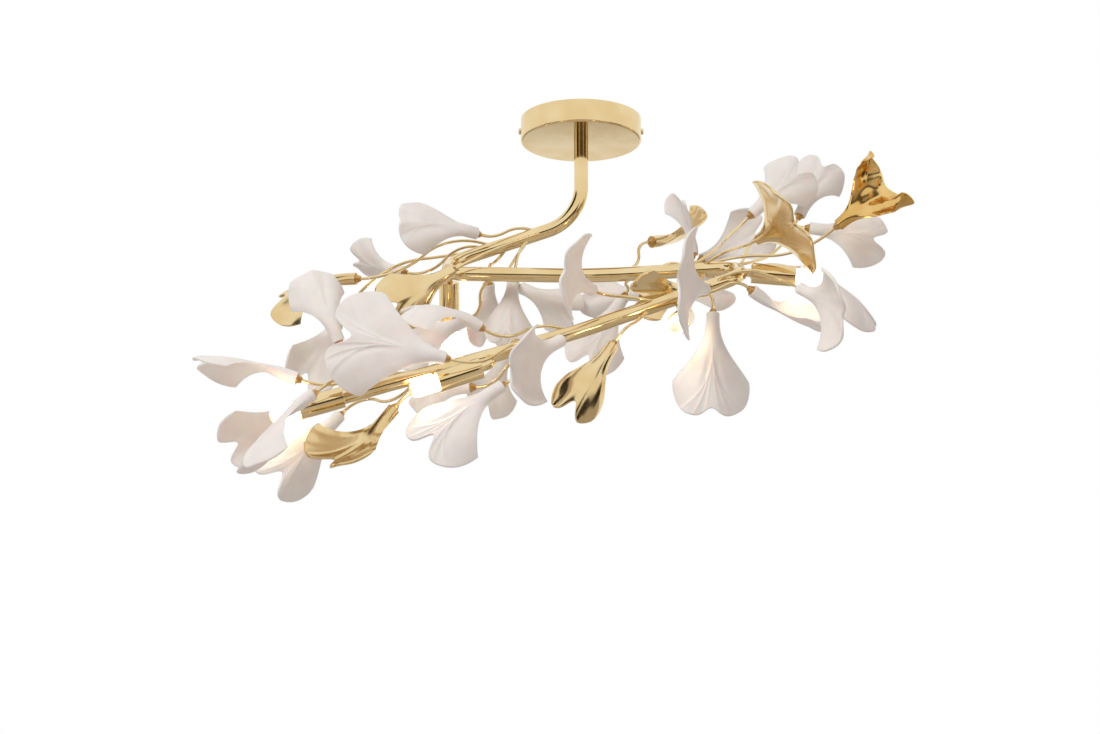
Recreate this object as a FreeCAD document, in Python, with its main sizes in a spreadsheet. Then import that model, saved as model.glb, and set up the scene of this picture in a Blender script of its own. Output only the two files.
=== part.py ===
import FreeCAD, Part
import math
import os
from collections import namedtuple

import Sketcher
from FreeCAD import Placement, Rotation, Vector

# Branch ceiling light: a bent brass tube under a round canopy carries five capsule lamps,
# and thin stems on the tube carry porcelain and gilt leaves.
# Frame: origin on the ceiling at the middle of the canopy, +Z up, -Y towards the viewer.

doc = FreeCAD.newDocument("branch_ceiling_light")
sheet = doc.addObject("Spreadsheet::Sheet", "dims")

# Driving dimensions, in millimetres and degrees
DIMENSIONS = {
    "canopy_outer": 120, "canopy_height": 23, "canopy_wall": 1.2, "canopy_edge": 2,
    "hole_clearance": 0.2, "seat_clearance": 0.05,
    "tube_outer": 14, "tube_wall": 1, "joint_margin": 1.5,
    "bend_drop": 104, "bend_round": 45, "left_round": 22, "right_round": 20, "sweep_round": 400,
    "left_reach": 130, "left_back_depth": 28, "left_back_drop": 140,
    "left_front_depth": -18, "left_front_drop": 165,
    "middle_reach": 10, "middle_depth": -36, "middle_drop": 173,
    "right_reach": 150, "right_back_depth": -34, "right_back_drop": 164,
    "right_front_depth": -78, "right_front_drop": 186,
    "front_reach": -6, "front_depth": -92, "front_drop": 245,
    "end_reach": -222, "end_depth": -112, "end_drop": 313,
    "strap_width": 24, "strap_thick": 1.6, "strap_gap": 2.8, "ear_width": 14, "ear_drop": 18,
    "fixing_spacing": 88, "fixing_hole": 4.5,
    "screw_outer": 4, "screw_length": 8, "screw_drop": 12, "screw_head": 6.4, "screw_head_height": 2,
    "screw_head_round": 1.4, "screw_head_gap": 0.1, "screw_slot": 0.9, "thread_clearance": 0.05,
    "nipple_bore": 9, "nipple_inside_tube": 12, "nipple_above_plate": 8,
    "washer_outer": 22, "washer_thick": 1.2, "nut_across_corners": 19.6, "nut_thick": 4,
    "block_start": 9, "block_length": 22, "block_width": 16, "block_height": 10,
    "terminal_hole": 3.2, "terminal_depth": 5, "terminal_pitch": 7, "terminal_count": 3,
    "lead_outer": 5, "lead_round": 6, "lead_drop": 7, "branch_lead_outer": 3.2,
    "arm_outer": 8, "arm_wall": 1.2, "arm_round": 8, "branch_hole": 4,
    "cup_outer": 20, "cup_wall": 1, "cup_back": 2, "cup_length": 42, "cup_hole": 5.6,
    "holder_gap": 0.2, "holder_length": 20, "pin_spacing": 9, "pin_outer": 1.5, "pin_length": 8,
    "pin_gap": 0.15, "pin_hole_depth": 10, "bulb_outer": 16, "bulb_dome": 7.6, "bulb_past_cup": 28,
    "bulb_base_outer": 13, "bulb_base_height": 8, "bulb_seat_gap": 0.3,
    "rod_outer": 3, "rod_angle": 35, "rod_straight": 7, "rod_root": 4, "rod_trim": 20,
    "leaf_nut_length": 5, "leaf_nut_small": 5.2, "leaf_nut_large": 9.2,
    "leaf_neck": 12, "leaf_thick": 3,
    "giant_length": 110, "giant_width": 106, "large_length": 100, "large_width": 86,
    "medium_length": 82, "medium_width": 66, "small_length": 66, "small_width": 54,
    "trumpet_length": 66, "trumpet_width": 130,
}

# Sizes that follow from the driving ones
DERIVED = {
    "canopy_radius": "=canopy_outer / 2",
    "canopy_inside": "=canopy_radius - canopy_wall",
    "tube_bore": "=tube_outer / 2 - tube_wall",
    "nipple_radius": "=tube_bore - seat_clearance",
    "nipple_inside": "=nipple_bore / 2",
    "nipple_length": "=nipple_inside_tube + canopy_wall + nipple_above_plate",
    "canopy_hole": "=nipple_radius + hole_clearance",
    "canopy_screw_hole": "=screw_outer / 2 + hole_clearance",
    "screw_height": "=canopy_height - screw_drop",
    "strap_half": "=canopy_inside - strap_gap",
    "washer_radius": "=washer_outer / 2",
    "washer_hole": "=nipple_radius + hole_clearance",
    "screw_radius": "=screw_outer / 2",
    "screw_head_radius": "=screw_head / 2",
    "screw_total": "=screw_length + screw_head_height",
    "cup_radius": "=cup_outer / 2",
    "cup_inside": "=cup_radius - cup_wall",
    "cup_hole_radius": "=cup_hole / 2",
    "holder_radius": "=cup_inside - holder_gap",
    "holder_hole": "=pin_outer / 2 + pin_gap",
    "pin_offset": "=pin_spacing / 2",
    "bulb_radius": "=bulb_outer / 2",
    "bulb_base_radius": "=bulb_base_outer / 2",
    "bulb_foot": "=cup_back + holder_length + bulb_seat_gap",
    "bulb_glass": "=cup_length + bulb_past_cup - bulb_foot - bulb_base_height",
    "leaf_nut_bore": "=rod_outer / 2 + seat_clearance",
    "leaf_nut_small_radius": "=leaf_nut_small / 2",
    "leaf_nut_large_radius": "=leaf_nut_large / 2",
}

for row, (alias, content) in enumerate({**DIMENSIONS, **DERIVED}.items(), start=1):
    sheet.set(f"A{row}", alias)
    sheet.set(f"B{row}", str(content))
    sheet.setAlias(f"B{row}", alias)
doc.recompute()


def size(alias):
    return float(getattr(sheet, alias))


SAME_PLACE = 1e-4


# Sketch and feature helpers

def plane(body, role):
    return next(item for item in body.Origin.OriginFeatures if item.Role == role)


def new_sketch(body, name, role):
    sketch = body.newObject("Sketcher::SketchObject", name)
    sketch.AttachmentSupport = (plane(body, role), [""])
    sketch.MapMode = "FlatFace"
    return sketch


def bind(sketch, kind, *place_and_alias):
    *place, alias = place_and_alias
    number = sketch.addConstraint(Sketcher.Constraint(kind, *place, size(alias)))
    sketch.setExpression(f"Constraints[{number}]", f"dims.{alias}")


def outline(sketch, corners):
    # Corners are pairs of sheet names; None stands for a corner on the sketch's axis
    places = [Vector(*(size(name) if name else 0 for name in corner), 0) for corner in corners]
    count = len(places)
    for number, place in enumerate(places):
        sketch.addGeometry(Part.LineSegment(place, places[(number + 1) % count]), False)
    for number, (across, up) in enumerate(corners):
        sketch.addConstraint(Sketcher.Constraint("Coincident", (number - 1) % count, 2, number, 1))
        for name, kind, axis in ((across, "DistanceX", -2), (up, "DistanceY", -1)):
            if name:
                bind(sketch, kind, -1, 1, number, 1, name)
            else:
                sketch.addConstraint(Sketcher.Constraint("PointOnObject", number, 1, axis))


def add_circle(sketch, across, up, radius):
    sketch.addGeometry(Part.Circle(Vector(across, up, 0), Vector(0, 0, 1), radius), False)


def turned(name, corners):
    body = doc.addObject("PartDesign::Body", name)
    sketch = new_sketch(body, f"{name}_profile", "XZ_Plane")
    outline(sketch, corners)
    spin = body.newObject("PartDesign::Revolution", f"{name}_turned")
    spin.Profile = sketch
    spin.ReferenceAxis = (sketch, ["V_Axis"])
    spin.Angle = 360
    doc.recompute()
    return body


def same(first, second):
    return math.isclose(first, second, abs_tol=SAME_PLACE)


def ring_edge(shape, radius, height):
    # Name of the circular edge of this radius at this height
    for number, edge in enumerate(shape.Edges, start=1):
        curve = edge.Curve
        if isinstance(curve, Part.Circle) and same(curve.Radius, radius) and same(curve.Center.z, height):
            return f"Edge{number}"
    raise ValueError("no such edge")


def rounded(body, radius, height, amount):
    fillet = body.newObject("PartDesign::Fillet", f"{body.Name}_round")
    base = body.Tip if body.Tip != fillet else fillet.BaseFeature
    fillet.Base = (base, [ring_edge(base.Shape, radius, height)])
    fillet.setExpression("Radius", f"dims.{amount}")
    doc.recompute()


def pocket(body, name, sketch, through=False, depth=None):
    before = body.Shape.Volume
    cut = body.newObject("PartDesign::Pocket", name)
    cut.Profile = sketch
    if through:
        cut.Type = "ThroughAll"
        cut.Midplane = True
    else:
        cut.setExpression("Length", f"dims.{depth}")
    doc.recompute()
    if body.Shape.Volume >= before:
        raise ValueError(f"{name} cuts nothing")
    return cut


def part_object(kind, name, **formulas):
    item = doc.addObject(kind, name)
    for attribute, formula in formulas.items():
        item.setExpression(attribute.replace("__", "."), formula)
    return item


def cut_from(name, base, *tools):
    result = doc.addObject("Part::Cut", name)
    result.Base = base
    if len(tools) == 1:
        result.Tool = tools[0]
    else:
        joined = doc.addObject("Part::MultiFuse", f"{name}_tools")
        joined.Shapes = list(tools)
        result.Tool = joined
    return result


def shape_node(name, shape, placement=None):
    item = doc.addObject("Part::Feature", name)
    item.Shape = shape
    if placement:
        item.Placement = placement
    return item


nodes = []


def node(item, name):
    item.Label = name
    nodes.append(item)


# Canopy: an upturned cup whose mouth lies on the ceiling

canopy = turned("canopy", [("canopy_hole", None), ("canopy_radius", None), ("canopy_radius", "canopy_height"),
                           ("canopy_inside", "canopy_height"), ("canopy_inside", "canopy_wall"),
                           ("canopy_hole", "canopy_wall")])
rounded(canopy, size("canopy_radius"), 0, "canopy_edge")
screw_holes = new_sketch(canopy, "canopy_screw_holes", "YZ_Plane")
add_circle(screw_holes, 0, size("screw_height"), size("canopy_screw_hole"))
screw_holes.addConstraint(Sketcher.Constraint("PointOnObject", 0, 3, -2))
bind(screw_holes, "DistanceY", -1, 1, 0, 3, "screw_height")
bind(screw_holes, "Radius", 0, "canopy_screw_hole")
pocket(canopy, "canopy_side_holes", screw_holes, through=True)
canopy.setExpression("Placement.Base.z", "-dims.canopy_height")
node(canopy, "canopy")

# Ceiling bracket: a strap with two fixing holes and two ears, threaded for the canopy screws

strap = part_object("Part::Box", "strap", Length="2 * dims.strap_half", Width="dims.strap_width",
                    Height="dims.strap_thick", Placement__Base__x="-dims.strap_half",
                    Placement__Base__y="-dims.strap_width / 2", Placement__Base__z="-dims.strap_thick")
ears = [part_object("Part::Box", f"ear_{name}", Length="dims.strap_thick", Width="dims.ear_width",
                    Height="dims.ear_drop - dims.strap_thick", Placement__Base__x=start,
                    Placement__Base__y="-dims.ear_width / 2", Placement__Base__z="-dims.ear_drop")
        for name, start in (("left", "-dims.strap_half"), ("right", "dims.strap_half - dims.strap_thick"))]
blank = doc.addObject("Part::MultiFuse", "bracket_blank")
blank.Shapes = [strap, *ears]
fixing_holes = [part_object("Part::Cylinder", f"fixing_hole_{name}", Radius="dims.fixing_hole / 2",
                            Height="3 * dims.strap_thick", Placement__Base__z="-2 * dims.strap_thick",
                            Placement__Base__x=f"{side} * dims.fixing_spacing / 2")
                for name, side in (("left", "-1"), ("right", "1"))]
ear_thread = part_object("Part::Cylinder", "ear_thread", Radius="dims.screw_radius + dims.thread_clearance",
                         Height="2 * dims.canopy_radius", Placement__Base__z="-dims.screw_drop")
ear_thread.Placement.Rotation = Rotation(Vector(0, 1, 0), 90)
ear_thread.setExpression("Placement.Base.x", "-dims.canopy_radius")
node(cut_from("ceiling_bracket", blank, *fixing_holes, ear_thread), "ceiling_bracket")

# Canopy screws: a round head with a slot, turned in the bracket's ears

screw = turned("screw", [(None, None), ("screw_radius", None), ("screw_radius", "screw_length"),
                         ("screw_head_radius", "screw_length"), ("screw_head_radius", "screw_total"),
                         (None, "screw_total")])
rounded(screw, size("screw_head_radius"), size("screw_total"), "screw_head_round")
slot = part_object("Part::Box", "screw_slot_tool", Length="2 * dims.screw_head", Width="dims.screw_slot",
                   Height="dims.screw_head_height", Placement__Base__x="-dims.screw_head",
                   Placement__Base__y="-dims.screw_slot / 2",
                   Placement__Base__z="dims.screw_length + dims.screw_head_height / 2")
slotted_screw = cut_from("slotted_screw", screw, slot)
doc.recompute()
for name, side in (("left", -1), ("right", 1)):
    head_seat = size("canopy_radius") + size("screw_head_gap")
    root = Vector(side * (head_seat - size("screw_length")), 0, -size("screw_drop"))
    place = Placement(root, Rotation(Vector(0, 0, 1), Vector(side, 0, 0)))
    node(shape_node(f"canopy_screw_{name}", slotted_screw.Shape, place), f"canopy_screw_{name}")

# Nipple with washer and lock nut, which clamp the canopy to the top of the tube

nipple = turned("nipple", [("nipple_inside", None), ("nipple_radius", None),
                           ("nipple_radius", "nipple_length"), ("nipple_inside", "nipple_length")])
nipple.setExpression("Placement.Base.z", "-dims.canopy_height - dims.nipple_inside_tube")
node(nipple, "stem_nipple")
washer = turned("washer", [("washer_hole", None), ("washer_radius", None), ("washer_radius", "washer_thick"),
                           ("washer_hole", "washer_thick")])
washer.setExpression("Placement.Base.z", "-dims.canopy_height + dims.canopy_wall")
nut_seat = "-dims.canopy_height + dims.canopy_wall + dims.washer_thick"
hexagon = part_object("Part::Prism", "nut_hexagon", Circumradius="dims.nut_across_corners / 2",
                      Height="dims.nut_thick", Placement__Base__z=nut_seat)
hexagon.Polygon = 6
nut_thread = part_object("Part::Cylinder", "nut_thread", Radius="dims.nipple_radius + dims.thread_clearance",
                         Height="dims.nut_thick", Placement__Base__z=nut_seat)
lock_nut = cut_from("lock_nut", hexagon, nut_thread)
fasteners = doc.addObject("Part::Compound", "nipple_fasteners")
fasteners.Links = [washer, lock_nut]
node(fasteners, "nipple_fasteners")

# Terminal block under the strap, with a row of screw holes in its lower face

block = part_object("Part::Box", "block_blank", Length="dims.block_length", Width="dims.block_width",
                    Height="dims.block_height", Placement__Base__x="dims.block_start",
                    Placement__Base__y="-dims.block_width / 2",
                    Placement__Base__z="-dims.strap_thick - dims.block_height")
block_middle = "dims.block_start + dims.block_length / 2"
terminals = [part_object("Part::Cylinder", f"terminal_{number}", Radius="dims.terminal_hole / 2",
                         Height="dims.terminal_depth",
                         Placement__Base__x=f"{block_middle} + dims.terminal_pitch * "
                         f"({number} - (dims.terminal_count - 1) / 2)",
                         Placement__Base__z="-dims.strap_thick - dims.block_height")
             for number in range(int(size("terminal_count")))]
node(cut_from("terminal_block", block, *terminals), "terminal_block")

# Route of the tube: named corners, and the straight runs between them

TOP = Vector(0, 0, -size("canopy_height"))
BEND = Vector(0, 0, -size("bend_drop"))
LEFT_BACK = Vector(-size("left_reach"), size("left_back_depth"), -size("left_back_drop"))
LEFT_FRONT = Vector(-size("left_reach"), size("left_front_depth"), -size("left_front_drop"))
MIDDLE = Vector(size("middle_reach"), size("middle_depth"), -size("middle_drop"))
RIGHT_BACK = Vector(size("right_reach"), size("right_back_depth"), -size("right_back_drop"))
RIGHT_FRONT = Vector(size("right_reach"), size("right_front_depth"), -size("right_front_drop"))
FRONT = Vector(size("front_reach"), size("front_depth"), -size("front_drop"))
END = Vector(size("end_reach"), size("end_depth"), -size("end_drop"))

RUNS = {
    "upper": [BEND, LEFT_BACK],
    "left": [LEFT_BACK, LEFT_FRONT],
    "middle": [LEFT_FRONT, MIDDLE, RIGHT_BACK],
    "right": [RIGHT_BACK, RIGHT_FRONT],
    "front": [RIGHT_FRONT, FRONT, END],
}


def unit(vector):
    return vector / vector.Length


def run_length(run):
    corners = RUNS[run]
    return sum((after - before).Length for before, after in zip(corners, corners[1:]))


def at(run, station):
    # Point and direction on a run; a negative station counts back from the run's end
    left = station if station >= 0 else run_length(run) + station
    corners = RUNS[run]
    for before, after in zip(corners, corners[1:]):
        leg = after - before
        if left <= leg.Length or after is corners[-1]:
            return before + unit(leg) * left, unit(leg)
        left -= leg.Length


def turn_of(before, corner, after):
    return unit(corner - before).getAngle(unit(after - corner))


def tangent_length(before, corner, after, radius):
    return radius * math.tan(turn_of(before, corner, after) / 2)


def rounded_path(points, radii):
    # Straight lines between the points, with a tangent arc at each inner point
    edges = []
    start = points[0]
    for before, corner, after, radius in zip(points, points[1:], points[2:], radii):
        go, leave = unit(corner - before), unit(after - corner)
        reach = tangent_length(before, corner, after, radius)
        first, last = corner - go * reach, corner + leave * reach
        inward = unit(leave - go)
        apex = corner + inward * (reach / math.sin(turn_of(before, corner, after) / 2) - radius)
        edges.append(Part.LineSegment(start, first).toShape())
        edges.append(Part.Arc(first, apex, last).toShape())
        start = last
    edges.append(Part.LineSegment(start, points[-1]).toShape())
    return Part.Wire(edges)


def piped(path, radius):
    first = path.OrderedEdges[0]
    start = first.FirstParameter
    ring = Part.Circle(first.valueAt(start), first.tangentAt(start), radius).toShape()
    return path.makePipeShell([Part.Wire(ring)], True, False)


def bar(point, direction, radius, before, after):
    return Part.makeCylinder(radius, before + after, point - direction * before, direction)


def seat_bar(point, direction, radius, reach):
    # What is cut away so that a branch ends just clear of the bar it stands on
    return bar(point, direction, radius + size("seat_clearance"), reach, reach)


# Lamps: a cup with holder and bulb on an arm beside the tube; the first sits on the tube's end
Lamp = namedtuple("Lamp", "run station out reach axis lead_in")
LAMPS = [
    Lamp("front", -140, (0, -0.82, -0.57), 24, (-0.93, -0.1, -0.34), 12),
    Lamp("right", 0.5 * run_length("right"), (0.98, -0.1, -0.14), 12, (0.98, -0.1, -0.14), 0),
    Lamp("front", 66, (0, -0.3, -0.95), 22, (-0.18, -0.9, -0.4), 8),
    Lamp("left", 0.5 * run_length("left"), (0, 0.6, -0.8), 14, (0, 0.6, -0.8), 0),
]
tube_radius = size("tube_outer") / 2
lead_radius = size("lead_outer") / 2
arm_radius = size("arm_outer") / 2
branch_radius = size("branch_lead_outer") / 2

cup_places = []
arms = []
branch_leads = []
tube_holes = {"front": [], "right": [], "left": []}


def lamp_place(back, axis):
    return Placement(back, Rotation(Vector(0, 0, 1), axis))


end_axis = at("front", run_length("front"))[1]
cup_places.append(lamp_place(END, end_axis))
for lamp in LAMPS:
    point, along = at(lamp.run, lamp.station)
    axis = unit(Vector(*lamp.axis))
    raw_out = Vector(*lamp.out)
    out = unit(raw_out - along * raw_out.dot(along))
    elbow = point + out * lamp.reach
    if not lamp.lead_in:
        axis = out
    back = elbow + axis * lamp.lead_in
    holder_back = back + axis * size("cup_back")
    radii = [size("arm_round")] if lamp.lead_in else []
    arm_path = rounded_path([point, elbow, back] if lamp.lead_in else [point, back], radii)
    lead_path = rounded_path([point, elbow, holder_back] if lamp.lead_in else [point, holder_back], radii)
    arm = piped(arm_path, arm_radius).cut(piped(arm_path, arm_radius - size("arm_wall")))
    arms.append(arm.cut(seat_bar(point, along, tube_radius, size("arm_outer"))))
    lead = piped(lead_path, branch_radius)
    branch_leads.append(lead.cut(seat_bar(point, along, lead_radius, size("arm_outer"))))
    tube_holes[lamp.run].append(bar(point, out, size("branch_hole") / 2, 0, size("tube_outer")))
    cup_places.append(lamp_place(back, axis))

# The three tubes, brazed end to end just past the two turns

bend_round, left_round, right_round = size("bend_round"), size("left_round"), size("right_round")
sweep_round = size("sweep_round")
left_turn_end = tangent_length(LEFT_BACK, LEFT_FRONT, MIDDLE, left_round)
right_turn_end = tangent_length(RIGHT_BACK, RIGHT_FRONT, FRONT, right_round)
left_joint = at("middle", left_turn_end + size("joint_margin"))[0]
right_joint = at("front", right_turn_end + size("joint_margin"))[0]
TUBES = {
    "stem_tube": ([TOP, BEND, LEFT_BACK, LEFT_FRONT, left_joint], [bend_round, left_round, left_round],
                  tube_holes["left"]),
    "middle_tube": ([left_joint, MIDDLE, RIGHT_BACK, RIGHT_FRONT, right_joint],
                    [sweep_round, right_round, right_round], tube_holes["right"]),
    "front_tube": ([right_joint, FRONT, END], [sweep_round], tube_holes["front"]),
}
for name, (points, radii, holes) in TUBES.items():
    path = rounded_path(points, radii)
    tube = piped(path, tube_radius).cut(piped(path, size("tube_bore")))
    for hole in holes:
        tube = tube.cut(hole)
    node(shape_node(name, tube), name)

# Supply lead: from the terminal block down the tube to the first lamp, with a branch to each other lamp

lead_start = Vector(size("block_start"), 0, -size("lead_drop"))
lead_turn = Vector(0, 0, -size("lead_drop"))
lead_end = END + end_axis * size("cup_back")
lead_path = rounded_path([lead_start, lead_turn, BEND, LEFT_BACK, LEFT_FRONT, MIDDLE, RIGHT_BACK, RIGHT_FRONT,
                          FRONT, lead_end],
                         [size("lead_round"), bend_round, left_round, left_round, sweep_round, right_round,
                          right_round, sweep_round])
leads = Part.makeCompound([piped(lead_path, lead_radius), *branch_leads])
node(shape_node("supply_lead", leads), "supply_lead")
node(shape_node("lamp_arms", Part.makeCompound(arms)), "lamp_arms")

# Cup, holder and bulb are each made once and then set at every lamp

cup = turned("cup", [("cup_hole_radius", None), ("cup_radius", None), ("cup_radius", "cup_length"),
                     ("cup_inside", "cup_length"), ("cup_inside", "cup_back"),
                     ("cup_hole_radius", "cup_back")])

holder = turned("holder", [(None, None), ("holder_radius", None), ("holder_radius", "holder_length"),
                           (None, "holder_length")])
pin_holes = new_sketch(holder, "holder_pin_holes", "XY_Plane")
pin_holes.setExpression("AttachmentOffset.Base.z", "dims.holder_length")
for number, side in enumerate((1, -1)):
    add_circle(pin_holes, side * size("pin_offset"), 0, size("holder_hole"))
    pin_holes.addConstraint(Sketcher.Constraint("PointOnObject", number, 3, -1))
    bind(pin_holes, "Radius", number, "holder_hole")
bind(pin_holes, "DistanceX", -1, 1, 0, 3, "pin_offset")
bind(pin_holes, "DistanceX", 1, 3, -1, 1, "pin_offset")
doc.recompute()
pocket(holder, "holder_pin_pockets", pin_holes, depth="pin_hole_depth")
holder.setExpression("Placement.Base.z", "dims.cup_back")

glass = turned("glass", [(None, None), ("bulb_radius", None), ("bulb_radius", "bulb_glass"),
                         (None, "bulb_glass")])
rounded(glass, size("bulb_radius"), size("bulb_glass"), "bulb_dome")
glass.setExpression("Placement.Base.z", "dims.bulb_foot + dims.bulb_base_height")
bulb_base = part_object("Part::Cylinder", "bulb_base", Radius="dims.bulb_base_radius",
                        Height="dims.bulb_base_height", Placement__Base__z="dims.bulb_foot")
pins = [part_object("Part::Cylinder", f"bulb_pin_{name}", Radius="dims.pin_outer / 2",
                    Height="dims.pin_length", Placement__Base__x=f"{side} * dims.pin_offset",
                    Placement__Base__z="dims.bulb_foot - dims.pin_length")
        for name, side in (("left", "-1"), ("right", "1"))]
bulb = doc.addObject("Part::Compound", "bulb")
bulb.Links = [glass, bulb_base, *pins]

leaf_nut = turned("leaf_nut", [("leaf_nut_bore", None), ("leaf_nut_small_radius", None),
                               ("leaf_nut_large_radius", "leaf_nut_length"),
                               ("leaf_nut_bore", "leaf_nut_length")])
doc.recompute()


def placed(item, place):
    copy = item.Shape.copy()
    copy.Placement = place.multiply(copy.Placement)
    return copy


for name, item in (("lamp_cups", cup), ("lamp_holders", holder)):
    copies = Part.makeCompound([placed(item, place) for place in cup_places])
    node(shape_node(name, copies), name)
for number, place in enumerate(cup_places, start=1):
    node(shape_node(f"bulb_{number}", bulb.Shape, place), f"bulb_{number}")

# Leaves: a round neck that opens into a two-lobed fan, cupped across and curled along.
# Each neck stands off the tube by an offset; heading is its angle in the XZ plane, lean its tilt
# towards the viewer, and roll turns its hollow face, which looks at the viewer at roll 0.
Leaf = namedtuple("Leaf", "node run station seat offset heading lean roll kind notch cup curl")
LEAVES = [
    Leaf("white_leaf_01", "upper", 52, 30, (-54, -11, -1), 174, 30, 165, "medium", 0.02, 100, 20),
    Leaf("white_leaf_02", "upper", 105, 345, (-78, 19, -14), 163, -20, 235, "small", 0.2, 100, 20),
    Leaf("gold_leaf_1", "upper", 98, 15, (-128, -19, -35), 178, -15, 140, "large", 0.2, 120, 40),
    Leaf("white_leaf_03", "upper", 80, 295, (-159, -1, -74), -124, -15, 20, "medium", 0.2, 110, 20),
    Leaf("gold_leaf_2", "upper", 45, 110, (-83, -51, -54), -143, 20, 190, "medium", 0.2, 90, 20),
    Leaf("white_leaf_04", "upper", 84, 200, (-12, -7, -41), -89, -40, 0, "small", 0.2, 100, 20),
    Leaf("white_leaf_05", "upper", 58, 150, (-12, -12, -49), -97, 10, 180, "small", 0.2, 100, 20),
    Leaf("white_leaf_06", "upper", 62, 220, (0, -2, -51), -30, 15, 180, "small", 0.2, 80, 20),
    Leaf("white_leaf_07", "middle", 40, 200, (-23, 23, -40), -160, -25, 0, "medium", 0.2, 100, 20),
    Leaf("gold_leaf_3", "middle", -104, 320, (23, 36, 44), 22, -40, 100, "medium", 0.2, 130, 20),
    Leaf("white_leaf_08", "middle", -71, 340, (28, 10, 21), 93, -5, 120, "small", 0.2, 110, 20),
    Leaf("white_leaf_09", "middle", -77, 275, (48, 80, 38), 30, -20, 0, "medium", 0.2, 90, 20),
    Leaf("white_leaf_10", "middle", -67, 240, (-26, 35, -14), 170, -10, 180, "small", 0.2, 90, 20),
    Leaf("white_leaf_11", "middle", -107, 180, (-3, 8, -21), -122, -5, 180, "medium", 0.2, 80, 20),
    Leaf("gold_leaf_4", "middle", -32, 150, (-9, -22, -26), -172, 0, 20, "small", 0.2, 110, 20),
    Leaf("white_leaf_12", "middle", -92, 250, (30, 43, -6), 8, -20, 0, "small", 0.2, 90, 20),
    Leaf("white_leaf_13", "middle", -42, 335, (62, 65, 78), 44, 0, 180, "medium", 0.2, 90, 20),
    Leaf("white_leaf_14", "middle", -26, 290, (97, 95, 86), 65, -10, 180, "medium", 0.2, 110, 20),
    Leaf("gold_leaf_5", "middle", -34, 312, (139, 55, 63), 38, 15, 0, "trumpet", 0.05, 250, -15),
    Leaf("white_leaf_15", "middle", -38, 255, (117, 79, 68), -8, 0, 180, "medium", 0.2, 90, 20),
    Leaf("white_leaf_16", "middle", -28, 240, (92, 49, 14), -20, 0, 245, "large", 0.2, 100, 45),
    Leaf("gold_leaf_6", "middle", -30, 45, (52, -6, 29), -8, 68, -44, "giant", 0.2, 40, 20),
    Leaf("white_leaf_17", "front", 22, 75, (74, -30, -14), -48, 48, -56, "large", 0.1, 80, 20),
    Leaf("white_leaf_18", "front", 44, 130, (51, -4, -1), -30, -25, 60, "medium", 0.2, 90, 20),
    Leaf("white_leaf_19", "front", 34, 90, (-5, -35, -12), -155, 64, 32, "giant", 0.1, 40, 20),
    Leaf("white_leaf_20", "front", 52, 130, (19, -37, -31), -92, 10, 180, "large", 0.08, 120, 20),
    Leaf("gold_leaf_7", "front", 100, 140, (-30, -43, -47), -122, 12, 185, "medium", 0.2, 170, 20),
    Leaf("white_leaf_21", "front", 92, 50, (-56, -23, 10), 186, 66, 20, "large", 0.1, 80, 20),
    Leaf("white_leaf_22", "front", 125, 110, (-54, -46, -35), -140, 40, 45, "large", 0.06, 110, 20),
    Leaf("white_leaf_23", "front", -215, 0, (-79, 13, 12), 152, 18, 115, "medium", 0.2, 100, 55),
    Leaf("white_leaf_24", "front", -190, 80, (-85, -55, -30), 168, 12, 180, "giant", 0.2, 60, 20),
    Leaf("white_leaf_25", "front", -190, 150, (-34, -30, -50), -143, 15, 160, "large", 0.2, 90, 20),
    Leaf("white_leaves_behind_tube", "front", -195, 250, (-36, 35, -3), -112, -20, 180, "small", 0.2, 90, 20),
    Leaf("white_leaves_behind_tube", "front", -170, 230, (-45, 37, -28), 178, -15, 180, "small", 0.2, 80, 20),
    Leaf("gold_leaf_8", "front", -77, 200, (-26, -10, -35), -127, 8, 328, "large", 0.2, 100, 45),
    Leaf("white_leaf_26", "front", -85, 300, (-90, 42, 42), 112, 10, 170, "medium", 0.02, 120, 45),
    Leaf("white_leaf_27", "front", -40, 330, (-82, 9, 9), 160, 0, 90, "large", 0.2, 80, 25),
    Leaf("white_leaf_28", "front", -50, 350, (-72, -42, -22), -139, 12, 105, "large", 0.2, 120, 20),
    Leaf("white_leaf_29", "front", -45, 270, (-92, 60, -6), -150, -10, 20, "medium", 0.2, 120, 20),
    Leaf("white_leaf_30", "front", -65, 210, (-68, 36, -27), -128, 20, 205, "large", 0.2, 130, 20),
]

# Shares of the leaf's length and half width at which its surface is steered
ALONG = (0, 0.08, 0.18, 0.3, 0.42, 0.55, 0.7, 0.85, 0.98, 1)
ACROSS = (-1, -0.98, -0.85, -0.62, -0.38, -0.16, 0, 0.16, 0.38, 0.62, 0.85, 0.98, 1)
# Shares of the length: where the curl starts, where the round neck has become a blade,
# and how far the blade's side corners reach
STRAIGHT_SHARE = 0.2
ROUND_NECK_END = 0.5
SIDE_REACH = {"trumpet": 0.85}
USUAL_SIDE_REACH = 0.62
# Share of the half width that the notch takes, and the power by which the blade widens
NOTCH_SPREAD = 0.2
FLARE = {"giant": 1.9}
USUAL_FLARE = 2.7
CUBIC = 3
neck_radius = size("leaf_neck") / 2
rod_radius = size("rod_outer") / 2


def smooth(share):
    share = min(max(share, 0), 1)
    return share * share * (3 - 2 * share)


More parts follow.
